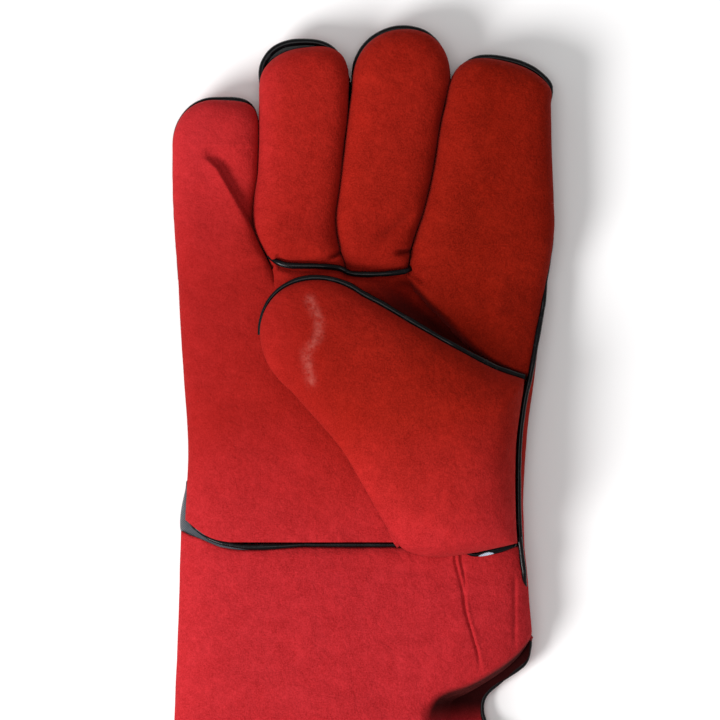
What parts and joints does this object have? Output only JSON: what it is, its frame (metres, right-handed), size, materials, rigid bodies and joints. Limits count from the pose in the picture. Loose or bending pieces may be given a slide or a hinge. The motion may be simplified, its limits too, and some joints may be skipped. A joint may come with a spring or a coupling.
{
  "type": "welding glove",
  "caption": "Right-hand red split-leather welding gauntlet with black welts, lining, palm-folded wing thumb and long cuff.",
  "frame": {"origin": "centre of the footprint, on the surface the back of the glove rests on", "axes": "+Y from the hem to the fingertips, +X to the thumb side, +Z out of the palm"},
  "size_m": [0.1476, 0.3554, 0.0449],
  "materials": {
    "red_split_leather": "napped matt suede",
    "black_welt": "glossy coated piping",
    "grey_lining": "soft woven lining"
  },
  "bodies": {
    "hand": {"palm_front": "red_split_leather", "hand_back": "red_split_leather", "palm_lining": "grey_lining", "thumb_root": "red_split_leather", "finger_base_welt": "black_welt", "side_welt_little": "black_welt", "side_welt_thumb": "black_welt", "wrist_welt": "black_welt", "wrist_tab": "grey_lining"},
    "little": {"little_front": "red_split_leather", "little_back": "red_split_leather", "little_lining": "grey_lining", "little_welt": "black_welt"},
    "ring": {"ring_front": "red_split_leather", "ring_back": "red_split_leather", "ring_lining": "grey_lining", "ring_welt": "black_welt"},
    "middle": {"middle_front": "red_split_leather", "middle_back": "red_split_leather", "middle_lining": "grey_lining", "middle_welt": "black_welt"},
    "index": {"index_front": "red_split_leather", "index_back": "red_split_leather", "index_lining": "grey_lining", "index_welt": "black_welt"},
    "thumb": {"thumb_leather": "red_split_leather", "thumb_lining": "grey_lining", "thumb_welt": "black_welt"},
    "cuff": {"cuff_front": "red_split_leather", "cuff_back": "red_split_leather", "cuff_lining": "grey_lining", "cuff_welt_little": "black_welt", "cuff_welt_thumb": "black_welt", "hem_binding": "black_welt"}
  },
  "joints": [
    {"name": "little_bend", "type": "hinge", "parent": "hand", "child": "little", "pos_m": [-0.055, 0.084, 0.0255], "axis": [1, 0, 0], "range_deg": [0, 75]},
    {"name": "ring_bend", "type": "hinge", "parent": "hand", "child": "ring", "pos_m": [-0.0216, 0.084, 0.0255], "axis": [1, 0, 0], "range_deg": [0, 75]},
    {"name": "middle_bend", "type": "hinge", "parent": "hand", "child": "middle", "pos_m": [0.0076, 0.084, 0.0255], "axis": [1, 0, 0], "range_deg": [0, 75]},
    {"name": "index_bend", "type": "hinge", "parent": "hand", "child": "index", "pos_m": [0.0468, 0.084, 0.0255], "axis": [1, 0, 0], "range_deg": [0, 75]},
    {"name": "thumb_swing", "type": "hinge", "parent": "hand", "child": "thumb", "pos_m": [0.015, -0.0183, 0.045], "axis": [0.6002, 0.7998, 0], "range_deg": [0, 100]},
    {"name": "wrist_bend", "type": "hinge", "parent": "hand", "child": "cuff", "pos_m": [0, -0.0195, 0.0255], "axis": [-1, 0, 0], "range_deg": [0, 60]}
  ]
}
